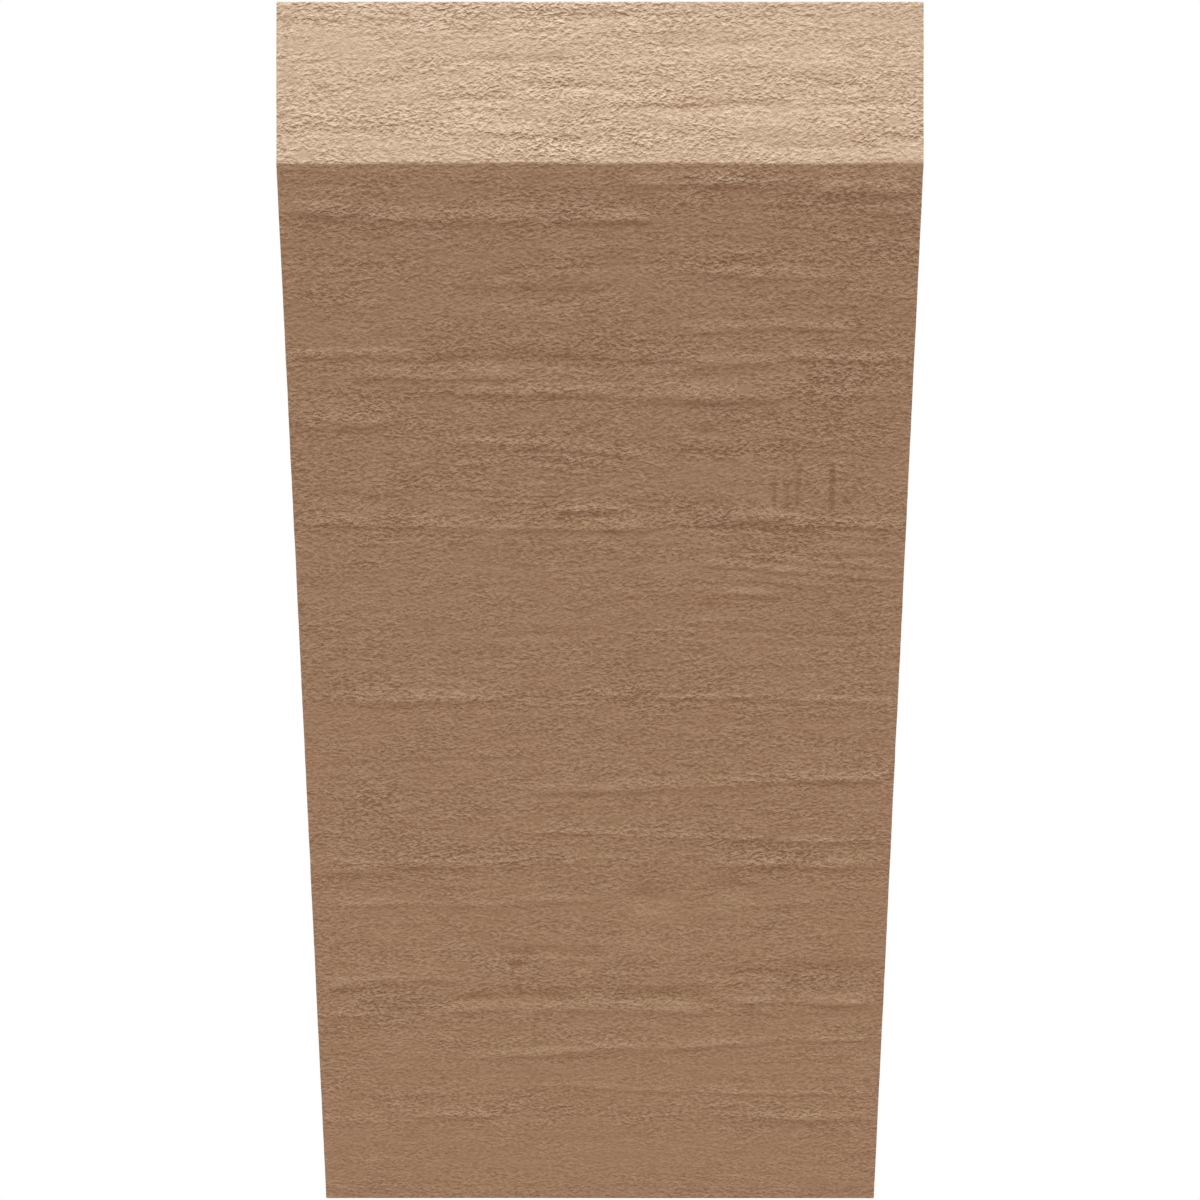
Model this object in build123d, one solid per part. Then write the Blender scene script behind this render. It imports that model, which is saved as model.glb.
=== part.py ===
from build123d import *
import os

# A block corbel, moulded in one piece to look like a bracket of rough-sawn timber.
# Seen from the side it is a square nose under the shelf, then one straight rake back to a
# small foot on the wall. Seen from the front both sides are upright and parallel.
# Sizes are in millimetres. The origin is the centre of the back face, on the wall.
# +X is to the right of someone who faces the wall, +Y points into the wall, +Z is up.

# Driving sizes
width = 152.4  # side to side
height = 304.8  # up the wall, from the foot to the top face
projection = 203.2  # out from the wall, at the nose
nose_height = 38.1  # upright front face above the rake
foot_depth = 38.1  # out from the wall, at the bottom
arris_radius = 0.5  # easing of the outer edges as they leave the mould


def side_outline():
    """The closed outline seen from the side, with the wall at zero and the front at minus Y."""
    top = height / 2
    bottom = top - height
    rake_top = top - nose_height
    return Plane.YZ * Polyline(
        (0, top),
        (-projection, top),
        (-projection, rake_top),
        (-foot_depth, bottom),
        (0, bottom),
        close=True,
    )


def raked_block():
    """The outline carried across the whole width, half to each side of the middle."""
    return extrude(make_face(side_outline()), amount=width / 2, both=True)


def ease_moulded_edges(block):
    """Round every edge that the mould forms. The back is the mould's open side, so it stays sharp."""
    back_face = block.faces().sort_by(Axis.Y)[-1]
    moulded_edges = block.edges() - back_face.edges()
    return fillet(moulded_edges, radius=arris_radius)


corbel_body = ease_moulded_edges(raked_block())
corbel_body.label = "corbel_body"

os.makedirs("parts", exist_ok=True)
export_step(corbel_body, "parts/corbel_body.step")
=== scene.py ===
# %% [markdown]
# # A block corbel with a rough-sawn grain
# The object is one moulded block: a square nose, then a straight rake back to a small foot on the
# wall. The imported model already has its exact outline, so this lesson is about the skin. Timber grain
# could be painted on, but paint alone goes flat when the light moves. Here the ridges, hollows and saw
# marks are real relief in one closed mesh, and only the fine tooth of the primer is a bump.

import bpy
import numpy as np
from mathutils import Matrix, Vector


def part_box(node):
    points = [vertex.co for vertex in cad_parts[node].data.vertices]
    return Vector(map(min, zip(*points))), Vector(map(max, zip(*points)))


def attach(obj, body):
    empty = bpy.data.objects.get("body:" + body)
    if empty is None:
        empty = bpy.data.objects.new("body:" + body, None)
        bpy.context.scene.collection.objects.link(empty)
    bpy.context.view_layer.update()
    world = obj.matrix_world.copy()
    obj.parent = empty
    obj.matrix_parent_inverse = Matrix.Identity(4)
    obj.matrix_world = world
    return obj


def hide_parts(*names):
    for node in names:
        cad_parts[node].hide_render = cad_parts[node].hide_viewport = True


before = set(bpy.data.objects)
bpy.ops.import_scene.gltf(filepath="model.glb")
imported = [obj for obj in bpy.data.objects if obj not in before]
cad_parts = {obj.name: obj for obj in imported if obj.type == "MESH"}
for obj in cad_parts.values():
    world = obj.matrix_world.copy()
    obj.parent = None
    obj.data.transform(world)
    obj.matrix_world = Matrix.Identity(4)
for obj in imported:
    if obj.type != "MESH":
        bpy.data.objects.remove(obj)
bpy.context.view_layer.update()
MM = 0.001
print("solids in the frame:", sorted(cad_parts))

# %% [markdown]
# ## Sizes
# Everything hangs on the solid's own box. Only two sizes inside that box have to be named: how tall
# the nose is, and how far the foot stands out. A moulded edge is never quite sharp, so each face stops
# a little short of its edges, and a narrow strip closes the gap later.

# %% Sizes from the solid
low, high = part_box("corbel_body")
WIDTH = high.x - low.x
PROJECTION = high.y - low.y
HEIGHT = high.z - low.z
NOSE_HEIGHT = 38.1 * MM
FOOT_DEPTH = 38.1 * MM
EASING = 0.2 * MM

rake_top = high.z - NOSE_HEIGHT
rake_run = PROJECTION - FOOT_DEPTH
rake_drop = HEIGHT - NOSE_HEIGHT
rake_length = float(np.hypot(rake_run, rake_drop))
down_the_rake = np.array([0.0, rake_run, -rake_drop]) / rake_length
print(f"corbel {WIDTH / MM:.1f} x {PROJECTION / MM:.1f} x {HEIGHT / MM:.1f} mm")
print(f"rake {rake_length / MM:.1f} mm long")

# %% [markdown]
# ## Smooth random relief
# A random number at each point of a coarse lattice, with a smooth curve drawn through them, gives
# hills of one chosen size. A lattice that is long one way and short the other gives hills that run
# like timber grain. The cubic B-spline is used because its slopes have no corners to catch the light.


# %% A seeded noise that can be stretched along the grain
LATTICE_SIZE = 256
SPLINE_SPREAD = 0.48  # what smoothing leaves of the lattice's unit spread


def spline_weights(t):
    """The four cubic B-spline weights at the fraction t between two lattice points."""
    return (
        (1 - t) ** 3 / 6,
        (3 * t**3 - 6 * t**2 + 4) / 6,
        (-3 * t**3 + 3 * t**2 + 3 * t + 1) / 6,
        t**3 / 6,
    )


def hills(along, across, cell_along, cell_across, seed):
    """Smooth hills of about unit spread: a B-spline through a seeded lattice of random heights."""
    lattice = np.random.default_rng(seed).standard_normal((LATTICE_SIZE, LATTICE_SIZE))
    a = along / cell_along
    b = across / cell_across
    cell_a = np.floor(a).astype(int)
    cell_b = np.floor(b).astype(int)
    total = np.zeros(np.broadcast(a, b).shape)
    for i, weight_a in enumerate(spline_weights(a - cell_a)):
        for j, weight_b in enumerate(spline_weights(b - cell_b)):
            heights = lattice[(cell_a + i) % LATTICE_SIZE, (cell_b + j) % LATTICE_SIZE]
            total += weight_a * weight_b * heights
    return total / SPLINE_SPREAD


def smooth_step(x, start, end):
    """0 before start, 1 after end, and the curve 3t^2 - 2t^3 between them."""
    t = np.clip((x - start) / (end - start), 0, 1)
    return t * t * (3 - 2 * t)


# %% [markdown]
# ## The grain on every face
# Rough-sawn timber has several sizes of relief at once: soft swells that follow the growth rings, and
# finer ribs between them. Each is the same noise at another size. A slow wander bends them all
# together, as real grain bends, and a drift slides them along, so that no two ribs end in one line.
# The ribs are strong in some patches and rubbed in others.


# %% Rough-sawn relief
# Each layer: height or sideways reach in mm, size along and across, and what it adds to the seed
DRIFT = (6.0, 34, 3.1, 9)
SLOW_WANDER = (1.3, 60, 15, 0)
QUICK_WANDER = (0.25, 18, 7, 7)
BROAD_SWELL = (0.015, 70, 6.5, 1)
NARROW_SWELL = (0.011, 42, 3.4, 2)
PATCHES = (1.0, 30, 9, 3)
BROAD_RIB = (0.012, 36, 1.9, 4)
NARROW_RIB = (0.005, 16, 1.1, 5)
PATCH_RANGE = (-1.0, 1.4)  # the patches' own heights, from where ribs are weakest to strongest
WEAKEST_RIB = 0.35


def layer(along, across, sizes, seed):
    """Hills of one of the sizes above."""
    height, size_along, size_across, seed_step = sizes
    return height * hills(along, across, size_along, size_across, seed + seed_step)


def sawn_relief(along, across, seed):
    """Height in mm: two sizes of swell, and two of rib that come and go in patches, on a bent grid."""
    drift = along + layer(along, across, DRIFT, seed)
    wander = across + layer(along, across, SLOW_WANDER, seed) + layer(along, across, QUICK_WANDER, seed)
    swells = layer(drift, wander, BROAD_SWELL, seed) + layer(drift, wander, NARROW_SWELL, seed)
    ribs = layer(drift, wander, BROAD_RIB, seed) + layer(drift, wander, NARROW_RIB, seed)
    strength = WEAKEST_RIB + smooth_step(layer(along, across, PATCHES, seed), *PATCH_RANGE)
    return swells + strength * ribs


# %% [markdown]
# ## Marks that the front carries
# The front has marks of its own that anyone would know it by: ledges where the saw stepped, torn
# furrows, a burl with rings round it, resin pits, soft dimples, and upright saw chatter. They are short
# lists in millimetres, and each mark is a simple formula along or round its place. The x of a place is
# across from the middle, and its down is from the upper edge of the face.

# %% Ledges and furrows
# Each line: start x, start down, end x, end down, bow, height (below zero for a furrow), width
RAKE_LINES = [
    (6, 5.5, 50, 5.5, -0.2, 0.42, 1.5),
    (50, 7.0, 76, 7.0, 0.0, 0.48, 2.2),
    (14, 10.0, 48, 10.5, 0.2, 0.22, 1.2),
    (62, 12.5, 76, 12.8, 0.0, 0.28, 1.6),
    (-76, 12.5, -57, 12.5, 0.0, 0.40, 2.2),
    (-58, 14.5, -12, 14.5, 0.0, 0.36, 2.1),
    (-14, 14.8, 15, 15.0, 0.0, 0.38, 1.6),
    (26, 24.2, 40, 24.2, 0.0, 0.22, 1.0),
    (20, 28.2, 62, 29.5, 0.2, 0.26, 1.4),
    (-36, 34.2, 4, 34.0, 0.0, -0.26, 2.6),
    (58, 35.3, 76, 35.2, 0.0, 0.28, 1.4),
    (20, 44.6, 36, 43.5, 0.0, 0.30, 1.2),
    (34, 43.4, 62, 43.0, 0.0, 0.30, 1.2),
    (-76, 51.0, -46, 50.7, 0.0, 0.28, 1.3),
    (-42, 51.0, 6, 52.4, 0.3, -0.34, 1.9),
    (6, 53.0, 21, 53.0, 0.0, -0.28, 1.1),
    (20, 53.5, 44, 52.8, 0.0, 0.28, 1.5),
    (44, 51.3, 76, 51.6, 0.5, 0.28, 1.2),
    (-62, 56.2, -18, 56.4, 0.0, 0.28, 1.6),
    (-36, 60.8, 6, 61.2, 0.0, 0.36, 1.6),
    (6, 62.3, 48, 62.0, 0.0, 0.48, 2.2),
    (44, 61.8, 76, 61.6, 0.0, 0.24, 2.0),
    (-76, 69.7, -50, 69.6, 0.0, 0.40, 2.4),
    (-40, 74.2, 14, 78.0, 0.0, 0.26, 1.4),
    (16, 77.2, 76, 79.2, 0.0, -0.18, 1.1),
    (-74, 89.6, -52, 89.8, 0.0, -0.18, 1.6),
    (2, 91.3, 34, 92.5, 0.0, -0.24, 1.4),
    (-14, 94.4, 8, 94.2, 0.0, 0.30, 1.4),
    (30, 96.2, 50, 96.4, 0.0, 0.28, 1.6),
    (-76, 97.4, -34, 98.2, 0.0, 0.44, 1.9),
    (-38, 98.6, 14, 99.2, 0.0, 0.40, 1.4),
    (23, 99.0, 47, 100.4, 0.0, -0.36, 1.4),
    (46, 98.5, 76, 98.8, 0.0, 0.36, 1.2),
    (42, 104.8, 76, 106.5, 0.2, 0.18, 1.0),
    (34, 107.2, 76, 110.5, 0.0, 0.24, 1.1),
    (22, 109.3, 76, 114.0, -0.3, 0.26, 1.1),
    (30, 113.2, 76, 118.2, -0.3, 0.18, 1.0),
    (28, 117.8, 46, 118.6, 0.0, 0.28, 1.2),
    (20, 127.2, 76, 129.0, 2.0, -0.18, 0.9),
    (36, 132.4, 76, 132.8, 0.6, -0.13, 0.8),
    (-72, 150.0, -22, 149.6, 0.0, 0.40, 1.9),
    (-4, 148.0, 76, 150.6, 0.0, 0.22, 0.9),
    (-76, 170.0, -12, 167.0, 0.0, -0.15, 0.8),
    (-22, 178.2, 46, 175.0, 0.3, 0.28, 1.5),
    (40, 175.2, 76, 174.0, -0.2, 0.34, 1.3),
    (-24, 190.2, 30, 192.4, 0.1, 0.26, 0.9),
    (30, 193.0, 76, 193.6, 0.0, 0.20, 0.9),
    (-76, 202.2, -54, 202.6, 0.0, 0.40, 2.0),
    (-54, 201.0, -28, 200.8, 0.0, 0.40, 1.7),
    (-30, 200.2, 16, 200.4, 0.0, 0.28, 1.5),
    (28, 201.0, 76, 201.0, 0.0, 0.40, 1.9),
    (-76, 214.4, 2, 212.4, 0.0, 0.20, 1.2),
    (-30, 229.3, 4, 229.5, 0.0, -0.24, 1.9),
    (28, 236.0, 52, 235.6, 0.0, -0.26, 1.9),
    (50, 234.6, 76, 234.6, 0.0, -0.26, 2.1),
    (-76, 240.0, -38, 238.2, 0.0, 0.40, 2.0),
    (-42, 245.4, -28, 244.2, 0.0, -0.26, 1.6),
    (-34, 244.0, -4, 244.5, 0.0, -0.34, 2.0),
    (-6, 242.8, 32, 243.2, 0.0, -0.36, 2.4),
    (-46, 248.6, 30, 248.4, 0.0, 0.28, 2.1),
    (34, 246.3, 76, 246.0, 0.0, 0.34, 1.5),
    (-76, 251.0, -58, 251.0, 0.0, 0.28, 1.5),
    (-34, 264.0, 30, 260.3, 0.0, 0.26, 1.5),
    (26, 260.4, 76, 258.0, -0.3, 0.32, 1.2),
    (-14, 274.4, 76, 278.0, 0.3, 0.22, 0.9),
    (-76, 286.8, -53, 286.8, 0.0, 0.28, 1.5),
    (-54, 285.0, -26, 285.0, 0.0, 0.24, 1.2),
    (32, 285.2, 76, 285.0, 0.0, 0.30, 1.8),
]
NOSE_LINES = [
    (-70, 5.2, -36, 4.3, 0.0, -0.13, 1.4),
    (-38, 3.2, 12, 3.4, 0.0, -0.19, 1.4),
    (12, 3.3, 76, 4.0, 0.0, -0.11, 0.9),
    (-36, 7.3, -11, 7.3, 0.0, -0.20, 1.7),
    (-60, 8.4, -42, 8.4, 0.0, -0.12, 1.5),
    (4, 9.8, 40, 9.5, 0.0, -0.16, 1.2),
    (54, 10.3, 76, 11.0, 0.0, -0.14, 1.0),
    (20, 15.0, 76, 15.8, 0.0, 0.17, 2.2),
    (-34, 13.8, -6, 14.0, 0.0, -0.14, 1.2),
    (-46, 17.5, -28, 17.3, 0.0, -0.11, 1.2),
    (-76, 18.7, -68, 18.7, 0.0, -0.12, 1.2),
    (-61, 19.5, -42, 19.0, 0.0, -0.20, 1.2),
    (-20, 19.5, 10, 20.4, 0.0, -0.22, 1.3),
    (52, 20.3, 76, 20.5, 0.0, -0.14, 1.0),
    (-44, 23.0, -18, 23.0, 0.0, -0.13, 1.0),
    (9, 24.7, 46, 24.0, 0.0, -0.24, 1.3),
    (44, 24.0, 76, 24.0, 0.0, -0.14, 1.2),
    (-24, 28.0, 4, 28.2, 0.0, -0.19, 1.7),
    (20, 29.6, 70, 29.7, 0.0, 0.16, 2.2),
    (-38, 30.8, -10, 30.6, 0.0, 0.19, 1.3),
    (-76, 30.6, -46, 31.0, 0.0, -0.15, 1.3),
    (66, 31.7, 76, 32.0, 0.0, -0.30, 1.2),
    (-14, 32.8, 6, 33.0, 0.0, -0.22, 1.2),
    (36, 34.0, 76, 34.3, 0.0, -0.14, 1.1),
]


# Layers as above. They run along a line, so their size across can be any number.
SLOW_BEND = (0.20, 9, 50, 0)
QUICK_BEND = (0.09, 3, 50, 1)
UNEVENNESS = (0.22, 7, 50, 2)
MEAN_STRENGTH = 0.95
LONGEST_FADE = 6.0
FADE_SHARE = 0.25
STEEP_SIDE = 0.75
GENTLE_SIDE = 1.30


def stroke(x, down, line, seed):
    """Height of one line: a bell shape across a bowed path, steeper on one side and fading at its ends."""
    start_x, start_down, end_x, end_down, bow, height, width = line
    level = 0 * down
    share = (x - start_x) / (end_x - start_x)
    path = start_down + (end_down - start_down) * share + 4 * bow * share * (1 - share)
    path = path + layer(x, level, SLOW_BEND, seed) + layer(x, level, QUICK_BEND, seed)
    fade = min(LONGEST_FADE, FADE_SHARE * (end_x - start_x))
    ends = smooth_step(x, start_x - 1, start_x + fade) * (1 - smooth_step(x, end_x - fade, end_x + 1))
    strength = np.clip(MEAN_STRENGTH + layer(x, level, UNEVENNESS, seed), 0, 2)
    steep = (down - path) * np.sign(height) > 0
    side_width = width * np.where(steep, STEEP_SIDE, GENTLE_SIDE)
    return height * ends * strength * np.exp(-(((down - path) / side_width) ** 2))


def strokes(x, down, lines, seed):
    """The sum of a list of lines, each with its own seed."""
    total = np.zeros_like(x)
    for number, line in enumerate(lines):
        total += stroke(x, down, line, seed + 10 * number)
    return total


# %% Pits, the burl and the saw chatter
# Each pit or dimple: x, down, depth, radius
RAKE_PITS = [
    (-22.5, 29, 0.45, 0.9),
    (-17, 33, 0.30, 0.9),
    (-37, 41, 0.30, 0.9),
    (26, 72, 0.45, 0.9),
    (60.5, 125, 0.32, 1.3),
    (-15, 130, 0.30, 0.9),
    (-42, 182, 0.35, 0.9),
    (-22.5, 233.5, 0.60, 1.4),
    (-5, 234, 0.30, 0.9),
]
RAKE_DIMPLES = [
    (27.5, 123, 0.40, 2.6),
    (13, 212, 0.80, 4.2),
    (34.5, 209, 0.70, 3.6),
]
# Each upright saw stroke: x, start down, end down, depth
SAW_STROKES = [
    (43, 84, 97, 0.48),
    (46, 86, 97, 0.44),
    (49, 80, 97, 0.56),
    (57.7, 80, 97, 0.80),
    (61, 88, 96, 0.48),
    (-22, 235, 248, 0.50),
    (50, 236, 243, 0.44),
    (53, 235, 244, 0.40),
    (57, 236, 245, 0.44),
    (61, 235, 243, 0.40),
    (64.5, 236, 245, 0.44),
    (69, 236, 244, 0.40),
]
SAW_WIDTH = 0.6
SAW_FADE = 4
SAW_SEED = 1300
SAW_BEND = (0.3, 50, 4, 0)  # a layer, as for the lines
# The burl: middle x, middle down, half width, half height
BURL = (-14, 84, 34, 8)
BURL_SEED = 71
BURL_BEND = (0.6, 9, 6, 0)  # a layer
RING_HEIGHT = 0.085
RING_COUNT = 3.2
RING_REACH = 1.05
PIT_STRETCH = 1.3  # how much wider a pit is than it is high
RAKE_SEED = 500
NOSE_SEED = 1700


def burl_rings(x, down):
    """Rings round the burl: a cosine of the elliptical distance from its middle, fading outward."""
    middle_x, middle_down, half_width, half_height = BURL
    bent = down + layer(x, down, BURL_BEND, BURL_SEED)
    distance = np.hypot((x - middle_x) / half_width, (bent - middle_down) / half_height)
    rings = RING_HEIGHT * np.cos(2 * np.pi * RING_COUNT * distance)
    return rings * np.exp(-((distance / RING_REACH) ** 4))


def bell(x, down, middle_x, middle_down, half_length, half_height):
    """1 at the middle of an ellipse, about a third on its rim and nothing far outside it."""
    return np.exp(-(((x - middle_x) / half_length) ** 2) - ((down - middle_down) / half_height) ** 2)


def hollows(x, down, pits):
    """Depth in mm of a list of pits, each a bell shape a little wider than it is high."""
    total = np.zeros_like(x)
    for pit_x, pit_down, depth, radius in pits:
        total += depth * bell(x, down, pit_x, pit_down, PIT_STRETCH * radius, radius)
    return total


def saw_strokes(x, down):
    """Depth in mm of the upright saw strokes, each a narrow bell shape across a bent upright line."""
    total = np.zeros_like(x)
    for stroke_x, start, end, depth in SAW_STROKES:
        line = stroke_x + layer(0 * x, down, SAW_BEND, SAW_SEED + int(stroke_x * 10))
        ends = smooth_step(down, start, start + SAW_FADE) * (1 - smooth_step(down, end - SAW_FADE, end))
        total += depth * ends * np.exp(-(((x - line) / SAW_WIDTH) ** 2))
    return total


def rake_marks(x, down):
    """Height in mm of the rake's own marks: its lines and rings, less the pits and the saw strokes."""
    cut_away = hollows(x, down, RAKE_PITS) + saw_strokes(x, down)
    return strokes(x, down, RAKE_LINES, RAKE_SEED) + burl_rings(x, down) - cut_away


def nose_marks(x, down):
    """Height in mm of the nose's own lines, which are furrows and a few low ridges."""
    return strokes(x, down, NOSE_LINES, NOSE_SEED)


# %% Rough and smooth patches of the front
# Each patch: x, down, half length, half height, and how much rougher it is, or smoother below zero
RAKE_PATCHES = [
    (24, 6, 12, 4, 0.7),
    (60, 8, 20, 5, 0.5),
    (-10, 13.5, 22, 3.5, 0.7),
    (-60, 14, 22, 4, 0.4),
    (30, 27, 14, 4.5, 0.7),
    (66, 23, 12, 8, 0.5),
    (-58, 29, 14, 5, 0.3),
    (-40, 25, 12, 10, -0.2),
    (-62, 41, 16, 3, -0.35),
    (45, 42, 28, 3, 0.3),
    (-34, 51, 10, 4, 0.7),
    (8, 51.5, 14, 4.5, 0.75),
    (58, 57, 14, 7, 0.8),
    (-60, 66, 18, 7, 0.45),
    (-8, 63, 16, 4, 0.4),
    (52, 68, 24, 5, 0.5),
    (42, 77.5, 26, 3, 0.8),
    (-14, 77, 18, 5, 0.5),
    (-30, 84, 26, 6, 0.3),
    (25, 85, 16, 6, -0.35),
    (-50, 98, 20, 4, 0.65),
    (-4, 96, 14, 4.5, 0.6),
    (26, 94, 9, 6, 0.6),
    (60, 98, 22, 4, 0.8),
    (46, 107, 14, 4, 0.4),
    (-20, 118, 60, 12, -0.15),
    (-30, 149, 34, 4, 0.5),
    (17, 148, 14, 4, 0.75),
    (50, 148, 20, 4, 0.3),
    (-62, 158, 14, 7, -0.25),
    (-52, 180, 14, 3, 0.55),
    (60, 175, 20, 5, 0.35),
    (-40, 197, 42, 8, 0.45),
    (48, 197, 20, 7, 0.6),
    (0, 216, 60, 9, -0.2),
    (-24, 234, 10, 5, 0.45),
    (0, 241, 16, 5, 0.55),
    (48, 236, 14, 5, 0.7),
    (-58, 247, 20, 8, 0.5),
    (0, 270, 76, 5, -0.4),
    (-30, 283, 40, 4, 0.3),
    (50, 284, 28, 4, 0.35),
    (0, 299, 76, 10, -0.4),
]
NOSE_PATCHES = [
    (0, 2, 76, 3, 0.4),
    (-60, 10, 20, 6, -0.35),
    (50, 9, 26, 5, -0.35),
    (-8, 34, 16, 5, 0.8),
    (-10, 20, 16, 4, 0.3),
    (30, 24, 16, 4, 0.3),
    (-60, 28, 14, 4, 0.3),
]


def front_roughness(name, x, down):
    """1, plus a soft ellipse for each of the face's patches; always 1 on the faces with no patches."""
    patches_of = {"rake": RAKE_PATCHES, "nose": NOSE_PATCHES}
    total = np.ones_like(x)
    for *ellipse, change in patches_of.get(name, []):
        total += change * bell(x, down, *ellipse)
    return total


# %% [markdown]
# ## Faces as sheets of points
# A flat face is a corner, a direction along the grain and a direction down across it. Its sheet of
# points is pushed out along the face's normal by the relief. The grid is finer across the grain, where
# the relief is steep, than along it. Every later step reads the same short description of a face.


# %% Describe the flat faces
def face(corner, along, down, length, depth, step_along, step_down, seed):
    """A flat face: corner, unit directions, extents, grid size, and the outward normal down x along."""
    along = np.array(along, float)
    down = np.array(down, float)
    return {
        "corner": np.array(corner, float),
        "along": along,
        "down": down,
        "normal": np.cross(down, along),
        "length": length,
        "depth": depth,
        "columns": int(np.ceil(length / step_along)) + 1,
        "rows": int(np.ceil(depth / step_down)) + 1,
        "seed": seed,
    }


STEP_ALONG = 1.9 * MM
STEP_ACROSS = 0.55 * MM
RAKE_ACROSS = 0.48 * MM
HIDDEN_ALONG = 5.5 * MM
HIDDEN_ACROSS = 1.5 * MM
NOSE_STEPS = (STEP_ALONG, STEP_ACROSS)
RAKE_STEPS = (STEP_ALONG, RAKE_ACROSS)
HIDDEN_STEPS = (HIDDEN_ALONG, HIDDEN_ACROSS)
across_the_wall = (1, 0, 0)
to_wall = (0, 1, 0)
to_front = (0, -1, 0)
downward = (0, 0, -1)
top_left = (low.x, low.y, high.z)
top_right = (high.x, low.y, high.z)
top_left_back = (low.x, 0, high.z)
rake_left = (low.x, low.y, rake_top)
foot_left = (low.x, -FOOT_DEPTH, low.z)
# Each last number is the face's seed
faces = {
    "top": face(top_left_back, across_the_wall, to_front, WIDTH, PROJECTION, *HIDDEN_STEPS, 11),
    "nose": face(top_left, across_the_wall, downward, WIDTH, NOSE_HEIGHT, *NOSE_STEPS, 27),
    "rake": face(rake_left, across_the_wall, down_the_rake, WIDTH, rake_length, *RAKE_STEPS, 41),
    "foot": face(foot_left, across_the_wall, to_wall, WIDTH, FOOT_DEPTH, *HIDDEN_STEPS, 63),
    "right": face(top_right, to_wall, downward, PROJECTION, HEIGHT, *HIDDEN_STEPS, 77),
    "left": face(top_left_back, to_front, downward, PROJECTION, HEIGHT, *HIDDEN_STEPS, 91),
}
for name, f in faces.items():
    print(f"{name}: {f['columns']} x {f['rows']} points")


# %% [markdown]
# ## Ledges on the hidden faces
# The sides, the top and the foot come from the same mould, but nobody can say where their marks lie.
# Theirs are the same kind of ledge and furrow in seeded random places. They fade out near the front
# edges, so that the outline seen from the front stays straight, and at the wall, where the back is flat.


# %% Ledges for the faces that the front doesn't show
AREA_PER_LINE = 600  # square mm
LINES_SEED = 60
START_SHARES = (-0.2, 0.9)  # of the face's length, so that some lines come in from its edge
REACHES = (30, 110)  # this and the rest in mm
FACE_MARGIN = 2
LEANS = (-1.5, 1.5)
HEIGHTS = (0.08, 0.24)
WIDTHS = (1.5, 2.2)


def scattered_lines(f):
    """Lines for a whole face, with seeded places, lengths, leans, heights and widths, and no bow."""
    random = np.random.default_rng(f["seed"] + LINES_SEED)
    length, depth = f["length"] / MM, f["depth"] / MM
    count = int(length * depth / AREA_PER_LINE)
    start = random.uniform(*START_SHARES, count) * length
    reach = random.uniform(*REACHES, count)
    down = random.uniform(FACE_MARGIN, depth - FACE_MARGIN, count)
    lean = random.uniform(*LEANS, count)
    height = random.choice([-1, 1], count) * random.uniform(*HEIGHTS, count)
    width = random.uniform(*WIDTHS, count)
    return list(zip(start, down, start + reach, down + lean, 0 * lean, height, width))


# %% [markdown]
# ## Relief, wear and painted shade
# Each sheet is moved out along its face's normal by the height of its marks, from a start a little
# inside the solid. The same heights set the colour: darker in the hollows, as pooled primer and painted
# shade, and paler on the ridges, as thin primer and painted highlight, so they are kept for the material.
# The dimples are left out of that, and get neither pooled primer nor painted shade.

# %% Push a flat sheet out by its relief
FRONT_INSET = 0.15
SIDE_INSET = 0.03
HIDDEN_BOOST = 0.6  # how much stronger the grain is on a hidden face, away from its edges
BEHIND_FRONT = (1, 9)  # mm over which a hidden face's marks come in behind the front edges
OFF_WALL = (0.5, 5)  # mm over which they come in from the wall
SHADE_AND_WEAR_OFF_WALL = (0, 4)  # mm over which the wear, painted shade and painted highlight come in from the plain back
SHADE_AND_WEAR_BY_HEIGHT = 0.15
SHADE_AND_POOL_BY_DEPTH = 0.60
SHADE_AND_POOL_START = 0.10  # depth in mm beyond which the colour darkens, as pooled primer and painted shade
LINE_SEED_FACTOR = 100  # so that each face's lines have seeds of their own
shade_and_wear_of = {}
roughness_of = {}


def on_face(f, points):
    """Distances along and down the face in mm, for points on or near it."""
    offset = points - f["corner"]
    return offset @ f["along"] / MM, offset @ f["down"] / MM


def front_at(z):
    """The y of the front at a height: the nose's down to the arris, and the rake's slope below it."""
    return low.y + np.clip(rake_top - z, 0, None) * rake_run / rake_drop


def hidden_extra(f, points, along, down, height):
    """What a hidden face adds to its grain: more of the same, and its ledges, away from front and wall."""
    behind_front = (points[..., 1] - front_at(points[..., 2])) / MM
    off_wall = -points[..., 1] / MM
    ledges = strokes(along, down, scattered_lines(f), LINE_SEED_FACTOR * f["seed"])
    coming_in = smooth_step(behind_front, *BEHIND_FRONT) * smooth_step(off_wall, *OFF_WALL)
    return coming_in * (HIDDEN_BOOST * height + ledges)


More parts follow.
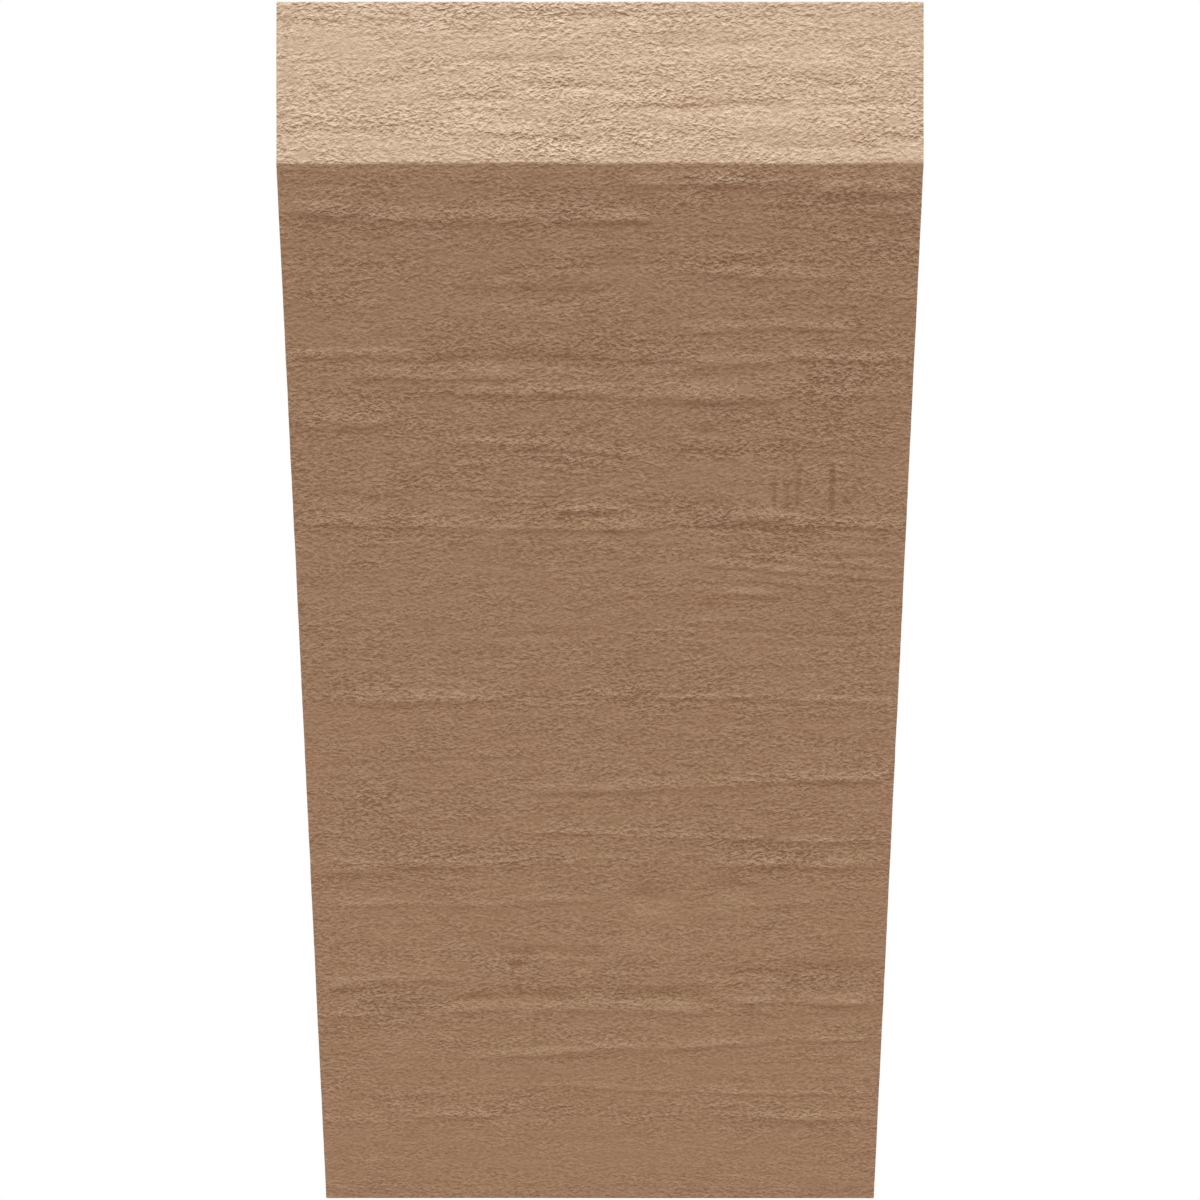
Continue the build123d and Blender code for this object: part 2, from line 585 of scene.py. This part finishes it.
def relieved(name, points):
    """The points moved along the face's normal by its relief, less an inset that keeps it in the solid."""
    f = faces[name]
    along, down = on_face(f, points)
    from_middle = along - WIDTH / MM / 2
    height = sawn_relief(along, down, f["seed"])
    if name == "rake":
        height = height + rake_marks(from_middle, down)
    elif name == "nose":
        height = height + nose_marks(from_middle, down)
    else:
        height = height + hidden_extra(f, points, along, down, height)
    # Darker in the hollows and paler on the ridges: pooled and thinned primer, and also painted shade and
    # painted highlight.
    pooled_and_shaded = np.minimum(height + SHADE_AND_POOL_START, 0)
    off_wall = -points[..., 1] / MM
    shade_and_wear = SHADE_AND_WEAR_BY_HEIGHT * height + SHADE_AND_POOL_BY_DEPTH * pooled_and_shaded
    shade_and_wear_of[name] = shade_and_wear * smooth_step(off_wall, *SHADE_AND_WEAR_OFF_WALL)
    if name == "rake":
        height = height - hollows(from_middle, down, RAKE_DIMPLES)
    roughness_of[name] = front_roughness(name, from_middle, down)
    inset = FRONT_INSET if name in ("nose", "rake") else SIDE_INSET
    return points + ((height - inset) * MM)[..., None] * f["normal"]


# %% [markdown]
# ## Where the grid lines go
# The grain changes quickly across itself and slowly along it, so the rows stand close and the columns
# wide. The upright saw strokes are the one exception, and the columns stand closer where they are. The
# nose has the same columns as the rake below it. A side's rows stay level, like its grain, and end on
# the slope of the rake.

# %% Lay the grid lines of each sheet
FINE_COLUMNS = 80  # the nose and the rake have more grid lines than this, and the other faces fewer
FINE_SHARE = 1.3  # how many times as many they get, to make up for the denser stretch
CLOSER = 2  # how much denser the lines stand there, on top of their plain density of one
SAW_ZONE_START = (41, 44)
SAW_ZONE_END = (64, 67)
SAMPLES = 2000


def lines_across(f):
    """Places of a face's columns: evenly apart, but on nose and rake closer in the saw strokes' stretch."""
    ends = (EASING, f["length"] - EASING)
    if f["columns"] < FINE_COLUMNS:
        return np.linspace(*ends, f["columns"])
    place = np.linspace(*ends, SAMPLES)
    from_middle = place / MM - WIDTH / MM / 2
    in_zone = smooth_step(from_middle, *SAW_ZONE_START) * (1 - smooth_step(from_middle, *SAW_ZONE_END))
    passed = np.cumsum(1 + CLOSER * in_zone)
    share = (passed - passed[0]) / (passed[-1] - passed[0])
    return np.interp(np.linspace(0, 1, int(f["columns"] * FINE_SHARE)), share, place)


def flat_sheet(f, start_down, end_down):
    """A grid of points over a rectangular face, held back by the easing from each side edge."""
    across = lines_across(f)
    down = np.linspace(start_down, end_down, f["rows"])
    return f["corner"] + down[:, None, None] * f["down"] + across[None, :, None] * f["along"]


def side_sheet(f):
    """A grid over a side: level rows from wall to front, whose front ends follow nose and rake."""
    kink_row = int(round(f["rows"] * NOSE_HEIGHT / HEIGHT))
    nose_rows = np.linspace(high.z - EASING, rake_top, kink_row + 1)
    rake_rows = np.linspace(rake_top, low.z + EASING, f["rows"] - kink_row)
    z = np.concatenate([nose_rows, rake_rows[1:]])
    front = front_at(z) + EASING
    share = np.linspace(0, 1, f["columns"])
    if f["along"][1] > 0:
        share = 1 - share
    sheet = np.empty((len(z), len(share), 3))
    sheet[..., 0] = f["corner"][0]
    sheet[..., 1] = front[:, None] * share[None, :]
    sheet[..., 2] = z[:, None]
    f["kink_row"] = kink_row
    return sheet


sheets = {
    "top": flat_sheet(faces["top"], 0, PROJECTION - EASING),
    "nose": flat_sheet(faces["nose"], EASING, NOSE_HEIGHT - EASING),
    "rake": flat_sheet(faces["rake"], EASING, rake_length - EASING),
    "foot": flat_sheet(faces["foot"], EASING, FOOT_DEPTH),
    "right": side_sheet(faces["right"]),
    "left": side_sheet(faces["left"]),
}
sheets = {name: relieved(name, sheet) for name, sheet in sheets.items()}

# %% [markdown]
# ## One closed skin
# The six sheets don't share points, because each has its own grid. Two border lines with different
# numbers of points can still be joined, like the two sides of a zip: each step forward on either side
# makes one triangle with the last point reached on the other. The strips are the eased edges, and they
# stay flat-shaded so that the arris is crisp. A fan of triangles closes the plain back.

# %% Number the points of all sheets
numbers = {}
first = 0
for name, sheet in sheets.items():
    count = sheet.shape[0] * sheet.shape[1]
    numbers[name] = first + np.arange(count).reshape(sheet.shape[:2])
    first += count
points = np.concatenate([sheet.reshape(-1, 3) for sheet in sheets.values()])
back_centre = len(points)
points = np.vstack([points, [0, 0, 0]])


def quads(grid):
    """Corner numbers of every cell of a grid, wound so that they face outward."""
    return np.stack([grid[:-1, :-1], grid[1:, :-1], grid[1:, 1:], grid[:-1, 1:]], -1).reshape(-1, 4)


def zip_up(one, two):
    """Triangles between two lines of points: every step on a line takes the other line's latest point."""
    share_one = np.linspace(0, 1, len(one))[1:]
    share_two = np.linspace(0, 1, len(two))[1:]
    reached_two = np.searchsorted(share_two, share_one, side="left")
    reached_one = np.searchsorted(share_one, share_two, side="right")
    steps_one = np.stack([one[:-1], one[1:], two[reached_two]], -1)
    steps_two = np.stack([two[1:], two[:-1], one[reached_one]], -1)
    return np.concatenate([steps_one, steps_two])


def facing(triangles, outward):
    """The triangles, with those turned round that don't face outward: one direction, or one for each."""
    a, b, c = points[triangles[:, 0]], points[triangles[:, 1]], points[triangles[:, 2]]
    inward = np.sum(np.cross(b - a, c - a) * outward, axis=-1) < 0
    triangles[inward] = triangles[inward][:, ::-1]
    return triangles


# %% Join the sheets along their edges
seams = []


def join(face_one, line_one, face_two, line_two):
    """Adds the strip that joins a border line of one face to a border line of another."""
    outward = faces[face_one]["normal"] + faces[face_two]["normal"]
    seams.append((face_one, facing(zip_up(line_one, line_two), outward)))


top, nose, rake, foot = (numbers[name] for name in ("top", "nose", "rake", "foot"))
right, left = numbers["right"], numbers["left"]
kink = faces["right"]["kink_row"]
join("nose", nose[0], "top", top[-1])
join("nose", nose[-1], "rake", rake[0])
join("rake", rake[-1], "foot", foot[0])

# For each side: its points, the column of the other faces that meets it, its own column at the
# front, and the step along its rows that runs from the wall to the front
corners = []
for side, own, edge, front_column, step in (("right", right, -1, 0, -1), ("left", left, 0, -1, 1)):
    front = own[:, front_column]
    join(side, own[0, ::step], "top", top[:, edge])
    join("nose", nose[:, edge], side, front[: kink + 1])
    join("rake", rake[:, edge], side, front[kink:])
    join(side, own[-1, ::step], "foot", foot[::-1, edge])
    corners += [
        [top[-1, edge], nose[0, edge], front[0]],
        [nose[-1, edge], rake[0, edge], front[kink]],
        [rake[-1, edge], foot[0, edge], front[-1]],
    ]
middle = np.array([0.0, low.y / 2, 0.0])
corners = np.array(corners)
corners = facing(corners, points[corners].mean(1) - middle)

# %% Close the back with a fan
rim = np.concatenate([top[0], right[:, -1], foot[-1, ::-1], left[::-1, 0]])
fan = np.stack([rim, np.roll(rim, -1), np.full(len(rim), back_centre)], -1)
fan = facing(fan, (0, 1, 0))
print("rim points:", len(rim), "strips:", len(seams))

# %% [markdown]
# ## From arrays to a mesh
# Blender stores faces as one long list of corners with a start and a length for each. Filling those
# lists straight from the arrays is quick. A map of the surface goes in with them: in it one unit is one
# millimetre, first along the grain and then across it, so the primer's pattern can follow the grain
# round every edge.

# %% Build the mesh
MAP_SPACING = 400  # mm, so that each face has its own stretch of pattern

# Each group: the face whose map it uses, its polygons, and whether they are smooth
groups = [(name, quads(numbers[name]), True) for name in sheets]
groups += [(name, strip, False) for name, strip in seams]
groups += [("nose", corners, False), ("back", fan, False)]
faces["back"] = face((high.x, 0, high.z), (-1, 0, 0), downward, WIDTH, HEIGHT, WIDTH, HEIGHT, 5)

corner_numbers = np.concatenate([polygons.ravel() for _, polygons, _ in groups])
corner_counts = np.concatenate([np.full(len(p), p.shape[1]) for _, p, _ in groups])
starts = np.concatenate([[0], np.cumsum(corner_counts)[:-1]])
smooth = np.concatenate([np.full(len(p), is_smooth) for _, p, is_smooth in groups])


def surface_map(name, polygons):
    """Millimetres along and across the grain at each corner of a face's polygons."""
    along, down = on_face(faces[name], points[polygons.ravel()])
    return np.stack([along + MAP_SPACING * list(faces).index(name), down], -1)


mesh = bpy.data.meshes.new("corbel_skin")
mesh.vertices.add(len(points))
mesh.vertices.foreach_set("co", points.astype(np.float32).ravel())
mesh.loops.add(len(corner_numbers))
mesh.loops.foreach_set("vertex_index", corner_numbers.astype(np.int32))
mesh.polygons.add(len(corner_counts))
mesh.polygons.foreach_set("loop_start", starts.astype(np.int32))
mesh.polygons.foreach_set("loop_total", corner_counts.astype(np.int32))
mesh.polygons.foreach_set("use_smooth", smooth)
grain_map = mesh.uv_layers.new(name="grain_mm")
grain_places = np.concatenate([surface_map(name, polygons) for name, polygons, _ in groups])
grain_map.data.foreach_set("uv", grain_places.astype(np.float32).ravel())
# The first attribute carries the wear, with painted shade in the hollows and painted highlight on the
# ridges.
for attribute_name, of_face, at_back in (
    ("wear_shade_and_highlight", shade_and_wear_of, 0.0),
    ("tooth_strength", roughness_of, 1.0),
):
    values = np.concatenate([of_face[name].ravel() for name in sheets] + [[at_back]])
    attribute = mesh.attributes.new(attribute_name, "FLOAT", "POINT")
    attribute.data.foreach_set("value", values.astype(np.float32))
mesh.update(calc_edges=True)
problems = mesh.validate(verbose=False)
corbel_skin = bpy.data.objects.new("corbel_skin", mesh)
bpy.context.scene.collection.objects.link(corbel_skin)
triangle_count = int((corner_counts - 2).sum())
print("triangles:", triangle_count, "repaired:", problems)

# %% [markdown]
# ## Tan primer
# Factory primer is a matt, chalky tan. Its colour here is darker in the hollows and paler on the ridges,
# partly as pooled and thinned primer, and partly as painted shade and painted highlight. A plain
# colour would do from across the room, but near to the nose you see a sandy tooth, fine striae along
# the grain, and small smooth blots where the primer ran together. The built-in noise stands on a
# square lattice, which shows as woven cloth once it is stretched, so each stretched layer cuts through
# it on a slant. All of it is one node group, which gives a height and a tone, so that the same primer
# can go on another part. The tone is darker where the tooth is low and lighter where it is high, as
# painted shade and painted highlight.


# %% Node helpers
def add_node(tree, kind, **settings):
    """A new node of that kind with its settings made."""
    node = tree.nodes.new(kind)
    for key, value in settings.items():
        setattr(node, key, value)
    return node


def feed(tree, socket, value):
    """Links a socket into another, or writes a plain value on it."""
    if isinstance(value, bpy.types.NodeSocket):
        tree.links.new(value, socket)
    else:
        socket.default_value = value


def math_node(tree, operation, *values):
    """One arithmetic node and its result."""
    node = add_node(tree, "ShaderNodeMath", operation=operation)
    for socket, value in zip(node.inputs, values):
        feed(tree, socket, value)
    return node.outputs[0]


NOISE_SLANT = (0.6, 0.7, 0.4)  # radians about each axis, so that no lattice plane lies in the surface


def grain_noise(tree, place, along, across, detail, roughness, shift):
    """Noise of one size, in mm along and across the grain, from about -0.5 to 0.5."""
    stretch = add_node(tree, "ShaderNodeMapping")
    feed(tree, stretch.inputs["Vector"], place)
    stretch.inputs["Scale"].default_value = (1 / along, 1 / across, 1)
    stretch.inputs["Rotation"].default_value = NOISE_SLANT
    stretch.inputs["Location"].default_value = (shift, 2 * shift, 0)
    noise = add_node(tree, "ShaderNodeTexNoise")
    feed(tree, noise.inputs["Vector"], stretch.outputs["Vector"])
    noise.inputs["Scale"].default_value = 1.0
    noise.inputs["Detail"].default_value = detail
    noise.inputs["Roughness"].default_value = roughness
    return math_node(tree, "SUBTRACT", noise.outputs["Fac"], 0.5)


def soft_step(tree, value, start, end, low_value, high_value):
    """A smooth change from one value to another while the input goes from start to end."""
    node = add_node(tree, "ShaderNodeMapRange", interpolation_type="SMOOTHSTEP")
    feed(tree, node.inputs["Value"], value)
    node.inputs["From Min"].default_value = start
    node.inputs["From Max"].default_value = end
    node.inputs["To Min"].default_value = low_value
    node.inputs["To Max"].default_value = high_value
    return node.outputs["Result"]


# %% The primer's surface as a node group
# Each noise: mm along and across the grain, detail, roughness, and a shift to its own stretch of noise
DRIFT_NOISE = (34, 3.0, 0, 0.5, 11.3)
PATCH_NOISE = (18, 6, 2, 0.6, 9.1)
MOTTLE_NOISE = (40, 2.6, 2, 0.6, 2.3)
SAND = (1.10, 0.85, 1, 0.7, 3.1)
CRINKLE = (6.0, 1.5, 0, 0.5, 5.3)
STRIAE = (26, 1.8, 0, 0.5, 7.7)
SAND_HEIGHT = 0.48
CRINKLE_HEIGHT = 0.10
STRIAE_HEIGHT = 0.06
BEND_SCALE = 0.25  # per mm
BEND_REACH = (1.2, 0.35, 0)  # mm
DRIFT_REACH = (16, 0, 0)  # mm
PATCH_EDGE = 0.18
PATCH_STRENGTHS = (0.72, 1.28)
BLOT_SPACING = 15  # mm
BLOT_STRETCH = (0.65, 1.0, 0)
BLOT_RIM = (0.01, 0.14)  # share of the spacing
BLOT_TONE = -0.10
MOTTLE_TONE = 0.12
# The tooth's tone follows its height: darker where it is low, as painted shade, and lighter where it is
# high, as painted highlight.
TONE_BY_HEIGHT = 4.0

tooth_group = bpy.data.node_groups.new("primer_tooth", "ShaderNodeTree")
tooth_group.interface.new_socket("Place", in_out="INPUT", socket_type="NodeSocketVector")
tooth_group.interface.new_socket("Strength", in_out="INPUT", socket_type="NodeSocketFloat")
tooth_group.interface.new_socket("Height", in_out="OUTPUT", socket_type="NodeSocketFloat")
tooth_group.interface.new_socket("Tone", in_out="OUTPUT", socket_type="NodeSocketFloat")
inside = add_node(tooth_group, "NodeGroupInput")
outside = add_node(tooth_group, "NodeGroupOutput")
place = inside.outputs["Place"]

bend_noise = add_node(tooth_group, "ShaderNodeTexNoise")
bend_noise.inputs["Scale"].default_value = BEND_SCALE
bend_noise.inputs["Detail"].default_value = 1.0
feed(tooth_group, bend_noise.inputs["Vector"], place)
bend = add_node(tooth_group, "ShaderNodeVectorMath", operation="MULTIPLY_ADD")
feed(tooth_group, bend.inputs[0], bend_noise.outputs["Color"])
bend.inputs[1].default_value = BEND_REACH
feed(tooth_group, bend.inputs[2], place)
bent = bend.outputs[0]
drift = add_node(tooth_group, "ShaderNodeVectorMath", operation="MULTIPLY_ADD")
feed(tooth_group, drift.inputs[0], grain_noise(tooth_group, place, *DRIFT_NOISE))
drift.inputs[1].default_value = DRIFT_REACH
feed(tooth_group, drift.inputs[2], bent)
drifted = drift.outputs[0]

sand = math_node(tooth_group, "MULTIPLY", grain_noise(tooth_group, bent, *SAND), SAND_HEIGHT)
crinkle = math_node(tooth_group, "MULTIPLY", grain_noise(tooth_group, drifted, *CRINKLE), CRINKLE_HEIGHT)
striae = math_node(tooth_group, "MULTIPLY", grain_noise(tooth_group, drifted, *STRIAE), STRIAE_HEIGHT)
rough = math_node(tooth_group, "ADD", math_node(tooth_group, "ADD", sand, crinkle), striae)
patch_noise = grain_noise(tooth_group, place, *PATCH_NOISE)
patches = soft_step(tooth_group, patch_noise, -PATCH_EDGE, PATCH_EDGE, *PATCH_STRENGTHS)
patches = math_node(tooth_group, "MULTIPLY", patches, inside.outputs["Strength"])

blot_place = add_node(tooth_group, "ShaderNodeVectorMath", operation="MULTIPLY")
feed(tooth_group, blot_place.inputs[0], bent)
blot_place.inputs[1].default_value = BLOT_STRETCH
blot_cells = add_node(tooth_group, "ShaderNodeTexVoronoi")
blot_cells.inputs["Scale"].default_value = 1 / BLOT_SPACING
feed(tooth_group, blot_cells.inputs["Vector"], blot_place.outputs[0])
clear_of_blot = soft_step(tooth_group, blot_cells.outputs["Distance"], *BLOT_RIM, 0.0, 1.0)
rough = math_node(tooth_group, "MULTIPLY", rough, patches)
height = math_node(tooth_group, "MULTIPLY", rough, clear_of_blot)
feed(tooth_group, outside.inputs["Height"], height)

mottle = math_node(tooth_group, "MULTIPLY", grain_noise(tooth_group, drifted, *MOTTLE_NOISE), MOTTLE_TONE)
# Painted shade where the tooth is low and painted highlight where it is high, with a random mottle added.
tone = math_node(tooth_group, "MULTIPLY_ADD", height, TONE_BY_HEIGHT, mottle)
in_blot = math_node(tooth_group, "SUBTRACT", 1.0, clear_of_blot)
blot_tone = math_node(tooth_group, "MULTIPLY", in_blot, BLOT_TONE)
tone = math_node(tooth_group, "ADD", tone, blot_tone)
feed(tooth_group, outside.inputs["Tone"], tone)

# %% The primer itself
# The dark colour is pooled primer and painted shade; the pale one is rubbed primer and painted highlight.
POOLED_AND_SHADED = (0.443, 0.324, 0.218, 1)
RUBBED_AND_HIGHLIGHTED = (0.681, 0.574, 0.444, 1)
EVEN_SHADE_AND_WEAR = 0.5  # how far an untouched face lies from the pooled, shaded colour to the rubbed, highlighted one

primer = bpy.data.materials.new("tan_primer")
primer.use_nodes = True
tree = primer.node_tree
shader = tree.nodes["Principled BSDF"]
shader.inputs["Roughness"].default_value = 0.8
shader.inputs["Specular IOR Level"].default_value = 0.25
grain_uv = add_node(tree, "ShaderNodeUVMap", uv_map="grain_mm")
tooth = add_node(tree, "ShaderNodeGroup", node_tree=tooth_group)
feed(tree, tooth.inputs["Place"], grain_uv.outputs["UV"])
shade_and_wear_attribute = add_node(tree, "ShaderNodeAttribute", attribute_name="wear_shade_and_highlight")
strength = add_node(tree, "ShaderNodeAttribute", attribute_name="tooth_strength")
feed(tree, tooth.inputs["Strength"], strength.outputs["Fac"])
# Mixing by this darkens the hollows with painted shade and lightens the ridges with painted highlight,
# besides the wear.
shade_and_wear = math_node(tree, "ADD", shade_and_wear_attribute.outputs["Fac"], tooth.outputs["Tone"])
shade_and_wear = math_node(tree, "ADD", shade_and_wear, EVEN_SHADE_AND_WEAR)
paint = add_node(tree, "ShaderNodeMix", data_type="RGBA")
feed(tree, paint.inputs["Factor"], shade_and_wear)
paint.inputs["A"].default_value = POOLED_AND_SHADED
paint.inputs["B"].default_value = RUBBED_AND_HIGHLIGHTED
feed(tree, shader.inputs["Base Color"], paint.outputs["Result"])
bump = add_node(tree, "ShaderNodeBump")
bump.inputs["Strength"].default_value = 1.0
bump.inputs["Distance"].default_value = MM
feed(tree, bump.inputs["Height"], tooth.outputs["Height"])
feed(tree, shader.inputs["Normal"], bump.outputs["Normal"])
mesh.materials.append(primer)

# %% Put the skin on the body
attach(corbel_skin, "root")
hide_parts("corbel_body")

# %% [markdown]
# ## A plain studio
# The corbel hangs on no wall here, so that every side can be seen. A pale floor lies below it. To the
# camera the floor is lit white, and its shadow shows as a soft grey. What it sends back up is dim and
# warm, and the rake, which faces the floor, takes part of its light from there. The world is split the
# same way: white to the camera, and only a weak even light on the corbel.


# %% One look for the camera and another for the light
def unlike_for_camera(tree, for_light, for_camera):
    """Mixes two surfaces or backgrounds: one lights the scene, and the other is what the camera sees."""
    ray = add_node(tree, "ShaderNodeLightPath")
    by_sight = math_node(tree, "MAXIMUM", ray.outputs["Is Camera Ray"], ray.outputs["Is Glossy Ray"])
    mix = add_node(tree, "ShaderNodeMixShader")
    feed(tree, mix.inputs[0], by_sight)
    feed(tree, mix.inputs[1], for_light.outputs[0])
    feed(tree, mix.inputs[2], for_camera.outputs[0])
    return mix.outputs[0]


# %% Floor
FLOOR_DROP = 0.30
FLOOR_RADIUS = 1.9
FLOOR_POINTS = 96
CARPET = (0.280, 0.150, 0.104, 1)
PALE_GREY = (0.70, 0.70, 0.70, 1)
WHITE = (1, 1, 1, 1)
FLOOR_GLOW = 0.25

turns = np.linspace(0, 2 * np.pi, FLOOR_POINTS, endpoint=False)
floor_level = np.full(FLOOR_POINTS, low.z - FLOOR_DROP)
floor_rim = np.stack([FLOOR_RADIUS * np.cos(turns), FLOOR_RADIUS * np.sin(turns), floor_level], -1)
floor_mesh = bpy.data.meshes.new("studio_floor")
floor_mesh.from_pydata(floor_rim.tolist(), [], [list(range(FLOOR_POINTS))])
studio_floor = bpy.data.objects.new("studio_floor", floor_mesh)
bpy.context.scene.collection.objects.link(studio_floor)

floor_paint = bpy.data.materials.new("studio_floor")
floor_paint.use_nodes = True
tree = floor_paint.node_tree
carpet = tree.nodes["Principled BSDF"]
carpet.inputs["Roughness"].default_value = 1.0
carpet.inputs["Specular IOR Level"].default_value = 0.0
carpet.inputs["Base Color"].default_value = CARPET
pale = add_node(tree, "ShaderNodeBsdfPrincipled")
pale.inputs["Roughness"].default_value = 1.0
pale.inputs["Specular IOR Level"].default_value = 0.0
pale.inputs["Base Color"].default_value = PALE_GREY
pale.inputs["Emission Color"].default_value = WHITE
pale.inputs["Emission Strength"].default_value = FLOOR_GLOW
feed(tree, tree.nodes["Material Output"].inputs["Surface"], unlike_for_camera(tree, carpet, pale))
floor_mesh.materials.append(floor_paint)

# %% World
AMBIENT_LEVEL = 0.12

world = bpy.data.worlds.new("studio")
bpy.context.scene.world = world
world.use_nodes = True
tree = world.node_tree
ambient = tree.nodes["Background"]
ambient.inputs["Color"].default_value = WHITE
ambient.inputs["Strength"].default_value = AMBIENT_LEVEL
backdrop = add_node(tree, "ShaderNodeBackground")
backdrop.inputs["Color"].default_value = WHITE
feed(tree, tree.nodes["World Output"].inputs["Surface"], unlike_for_camera(tree, ambient, backdrop))

# %% [markdown]
# ## The light
# The photo shows a pale nose over a darker rake, with a thin shadow under each ledge, so most of the
# light comes from high in front. A cool key lamp from there only grazes the rake, and brings out its
# relief. A lower, warmer lamp in front fills the nose and reaches the rake as well. Three weak warm
# ones serve the sides and the back, which the photo doesn't show.

# %% Lamps
COOL = (0.855, 0.915, 1.0)
WARM = (1.0, 0.852, 0.677)
FAINTLY_WARM = (1.0, 0.93, 0.85)
LAMP_DISTANCE = 2  # metres, only to draw it: a sun lamp lights the same from anywhere


def soft_light(name, azimuth, elevation, level, softness, colour):
    """A distant soft lamp. Azimuth 0 is in front and 90 to the right; the angles are in degrees."""
    lamp = bpy.data.lights.new(name, "SUN")
    lamp.energy = level * np.pi
    lamp.angle = np.radians(softness)
    lamp.color = colour
    a, e = np.radians(azimuth), np.radians(elevation)
    away = Vector((np.sin(a) * np.cos(e), -np.cos(a) * np.cos(e), np.sin(e)))
    thing = bpy.data.objects.new(name, lamp)
    thing.location = away * LAMP_DISTANCE
    thing.rotation_euler = away.to_track_quat("Z", "Y").to_euler()
    bpy.context.scene.collection.objects.link(thing)


soft_light("key_light", -14, 65, 1.02, 22, COOL)
soft_light("front_light", 0, 33, 0.558, 40, WARM)
soft_light("left_light", -90, 12, 0.40, 30, FAINTLY_WARM)
soft_light("right_light", 90, 12, 0.40, 30, FAINTLY_WARM)
soft_light("back_light", 180, 12, 0.42, 30, FAINTLY_WARM)

# %% [markdown]
# ## The camera
# The picture is taken level and square on, from a little over nine hundred millimetres in front of the
# nose. The nose measures 648 of the picture's 1200 pixels across, and its top edge lies on the second
# row, so the lens and the shift follow from those two places.

# %% Camera
PICTURE = 1200
NOSE_PIXELS = 647.7
TOP_ROW = 1.5
CAMERA_DISTANCE = 906 * MM
CAMERA_HEIGHT = -1.9 * MM
focal_pixels = NOSE_PIXELS * CAMERA_DISTANCE / WIDTH
horizon_row = TOP_ROW + focal_pixels * (high.z - CAMERA_HEIGHT) / CAMERA_DISTANCE
camera_data = bpy.data.cameras.new("camera")
camera_data.sensor_width = 36
camera_data.lens = camera_data.sensor_width * focal_pixels / PICTURE
camera_data.shift_y = (horizon_row - PICTURE / 2) / PICTURE
camera = bpy.data.objects.new("camera", camera_data)
camera.location = (0, low.y - CAMERA_DISTANCE, CAMERA_HEIGHT)
camera.rotation_euler = (np.pi / 2, 0, 0)
bpy.context.scene.collection.objects.link(camera)
bpy.context.scene.camera = camera
bpy.context.scene.view_settings.view_transform = "Standard"
print(f"lens {camera_data.lens:.1f} mm, shift {camera_data.shift_y:.4f}")
